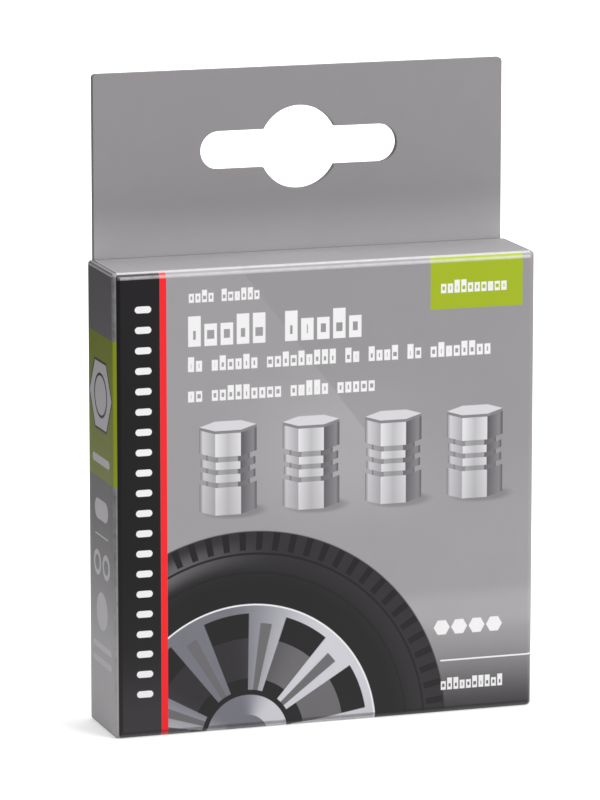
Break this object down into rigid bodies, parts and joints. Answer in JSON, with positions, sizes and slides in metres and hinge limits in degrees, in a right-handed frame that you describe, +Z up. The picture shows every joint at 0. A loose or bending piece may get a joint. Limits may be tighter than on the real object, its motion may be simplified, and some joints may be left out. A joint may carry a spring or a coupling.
{
  "type": "hanging carton",
  "caption": "Folded board carton with a slotted hanging header, a tuck-in lid at each end and hexagonal metal valve caps inside.",
  "frame": {"origin": "bottom centre of the carton, on the outer face of its bottom lid", "axes": "+Z up towards the header, +Y towards the back, -Y is the printed front, +X towards the right side as seen from the front"},
  "size_m": [0.0682, 0.0148, 0.1012],
  "materials": {
    "board": "satin",
    "cap_metal": "gloss",
    "seal_rubber": "matte"
  },
  "bodies": {
    "carton": {"carton_body": "board", "valve_cap_1": "cap_metal", "valve_cap_2": "cap_metal", "valve_cap_3": "cap_metal", "valve_cap_4": "cap_metal", "cap_seal_1": "seal_rubber", "cap_seal_2": "seal_rubber", "cap_seal_3": "seal_rubber", "cap_seal_4": "seal_rubber"},
    "top_lid": {"top_lid": "board"},
    "bottom_lid": {"bottom_lid": "board"}
  },
  "joints": [
    {"name": "top_lid_fold", "type": "hinge", "parent": "carton", "child": "top_lid", "pos_m": [0, -0.00711, 0.07231], "axis": [1, 0, 0], "range_deg": [0, 150]},
    {"name": "bottom_lid_fold", "type": "hinge", "parent": "carton", "child": "bottom_lid", "pos_m": [0, -0.00711, 0.00029], "axis": [-1, 0, 0], "range_deg": [0, 150]}
  ]
}
